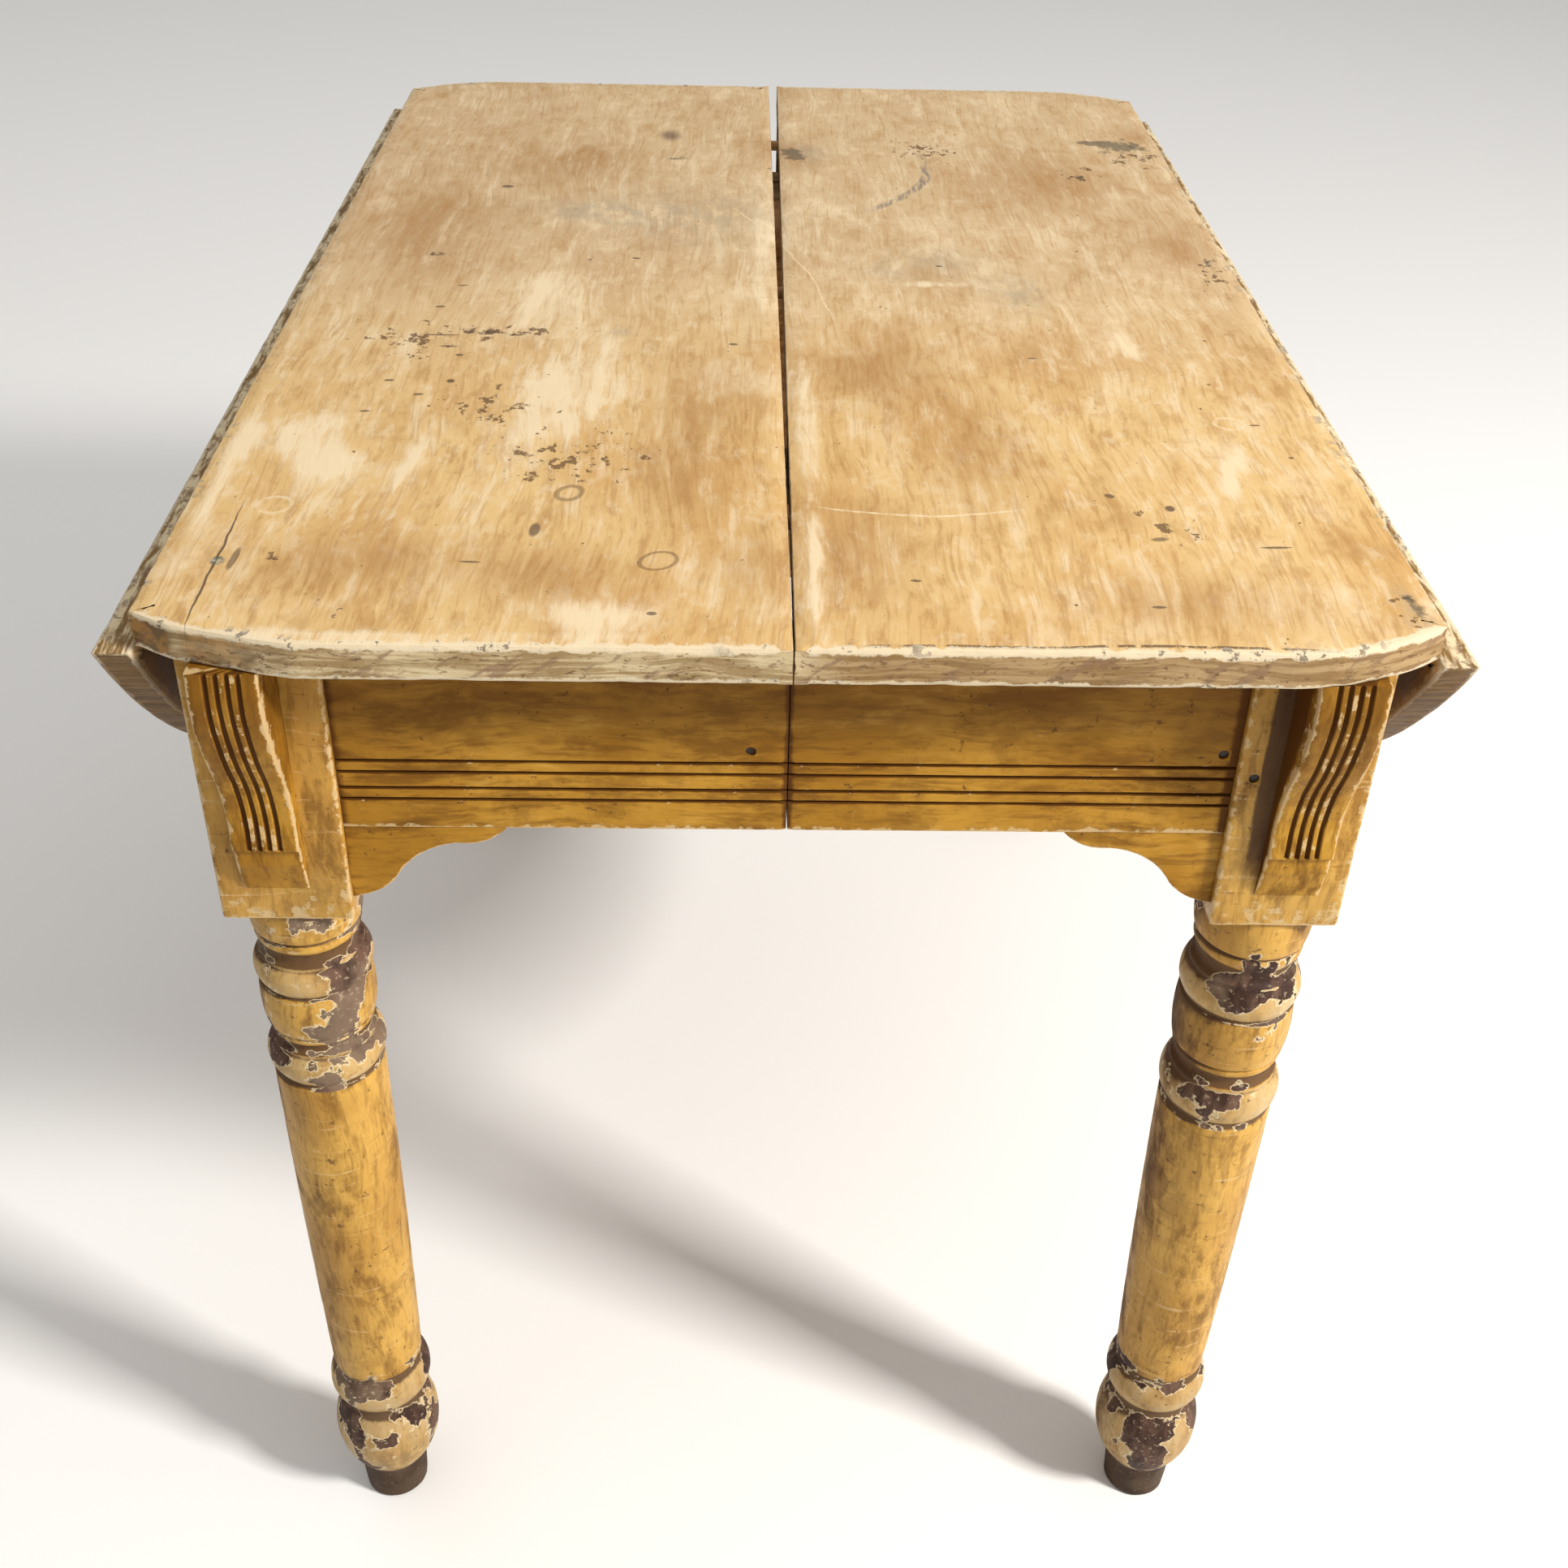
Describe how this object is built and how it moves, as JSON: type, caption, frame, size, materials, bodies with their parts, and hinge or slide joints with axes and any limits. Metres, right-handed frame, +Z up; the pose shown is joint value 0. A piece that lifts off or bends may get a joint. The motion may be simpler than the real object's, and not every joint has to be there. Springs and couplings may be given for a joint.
{
  "type": "drop leaf table",
  "caption": "Pine drop-leaf extension table with turned legs, fluted corbels and two hinged leaves; the top splits in the middle and pulls apart on wooden runners.",
  "frame": {"origin": "on the floor under the middle of the table, leaves hanging and halves pushed together", "axes": "+Z up; +Y along the leaf hinges from the front end to the back end; +X across the leaves to the right-hand leaf"},
  "size_m": [0.672, 0.976, 0.737],
  "materials": {
    "top_pine": "worn, thin cream finish rubbed through to honey pine, streaked along the length",
    "leaf_pine": "weathered honey pine, dull",
    "leg_pine": "old ochre paint, chipped to purple-brown on the turned rings",
    "apron_pine": "mustard paint with brown glaze, cream at the worn edges",
    "inner_pine": "bare aged pine",
    "old_iron": "dark iron, lightly rusted"
  },
  "bodies": {
    "left_half": {"apron_back_left": "apron_pine", "apron_front_left": "apron_pine", "catch_screws_left": "old_iron", "corbel_back_left": "apron_pine", "corbel_front_left": "apron_pine", "dowels": "inner_pine", "glue_blocks_left": "inner_pine", "hinge_pins_left": "old_iron", "hinge_plates_top_left": "old_iron", "hinge_screws_top_left": "old_iron", "leg_back_left": "leg_pine", "leg_front_left": "leg_pine", "nails_left": "old_iron", "prop_catch_left": "inner_pine", "runner_back_left": "inner_pine", "runner_front_left": "inner_pine", "runner_screws_left": "old_iron", "side_apron_left": "inner_pine", "spandrel_back_left": "apron_pine", "spandrel_front_left": "apron_pine", "top_board_left": "top_pine"},
    "right_half": {"apron_back_right": "apron_pine", "apron_front_right": "apron_pine", "catch_screws_right": "old_iron", "corbel_back_right": "apron_pine", "corbel_front_right": "apron_pine", "glue_blocks_right": "inner_pine", "hinge_pins_right": "old_iron", "hinge_plates_top_right": "old_iron", "hinge_screws_top_right": "old_iron", "leg_back_right": "leg_pine", "leg_front_right": "leg_pine", "nails_right": "old_iron", "prop_catch_right": "inner_pine", "runner_back_right": "inner_pine", "runner_front_right": "inner_pine", "runner_screws_right": "old_iron", "side_apron_right": "inner_pine", "spandrel_back_right": "apron_pine", "spandrel_front_right": "apron_pine", "top_board_right": "top_pine"},
    "middle_runners": {"runner_back_middle": "inner_pine", "runner_front_middle": "inner_pine", "slide_tie": "inner_pine", "tie_screws": "old_iron"},
    "leaf_left": {"hinge_plates_leaf_left": "old_iron", "hinge_screws_leaf_left": "old_iron", "leaf_left": "leaf_pine", "lug_screws_left": "old_iron", "prop_lugs_left": "old_iron", "prop_pin_left": "old_iron"},
    "leaf_right": {"hinge_plates_leaf_right": "old_iron", "hinge_screws_leaf_right": "old_iron", "leaf_right": "leaf_pine", "lug_screws_right": "old_iron", "prop_lugs_right": "old_iron", "prop_pin_right": "old_iron"},
    "prop_left": {"prop_left": "inner_pine"},
    "prop_right": {"prop_right": "inner_pine"}
  },
  "joints": [
    {"name": "extend", "type": "slide", "parent": "left_half", "child": "right_half", "axis": [1, 0, 0], "range_m": [0, 0.46]},
    {"name": "middle_slide", "type": "slide", "parent": "left_half", "child": "middle_runners", "axis": [1, 0, 0], "range_m": [0, 0.23]},
    {"name": "leaf_left_hinge", "type": "hinge", "parent": "left_half", "child": "leaf_left", "pos_m": [-0.317, 0, 0.718], "axis": [0, 1, 0], "range_deg": [0, 90]},
    {"name": "leaf_right_hinge", "type": "hinge", "parent": "right_half", "child": "leaf_right", "pos_m": [0.317, 0, 0.718], "axis": [0, -1, 0], "range_deg": [0, 90]},
    {"name": "prop_left_hinge", "type": "hinge", "parent": "leaf_left", "child": "prop_left", "pos_m": [-0.308, 0, 0.626], "axis": [0, -1, 0], "range_deg": [0, 145.3]},
    {"name": "prop_right_hinge", "type": "hinge", "parent": "leaf_right", "child": "prop_right", "pos_m": [0.308, 0, 0.626], "axis": [0, 1, 0], "range_deg": [0, 145.3]}
  ],
  "couplings": [
    {"joint": "middle_slide", "follows": "extend", "ratio": 0.5},
    {"joint": "prop_left_hinge", "follows": "leaf_left_hinge", "ratio": 1.6139},
    {"joint": "prop_right_hinge", "follows": "leaf_right_hinge", "ratio": 1.6139}
  ]
}
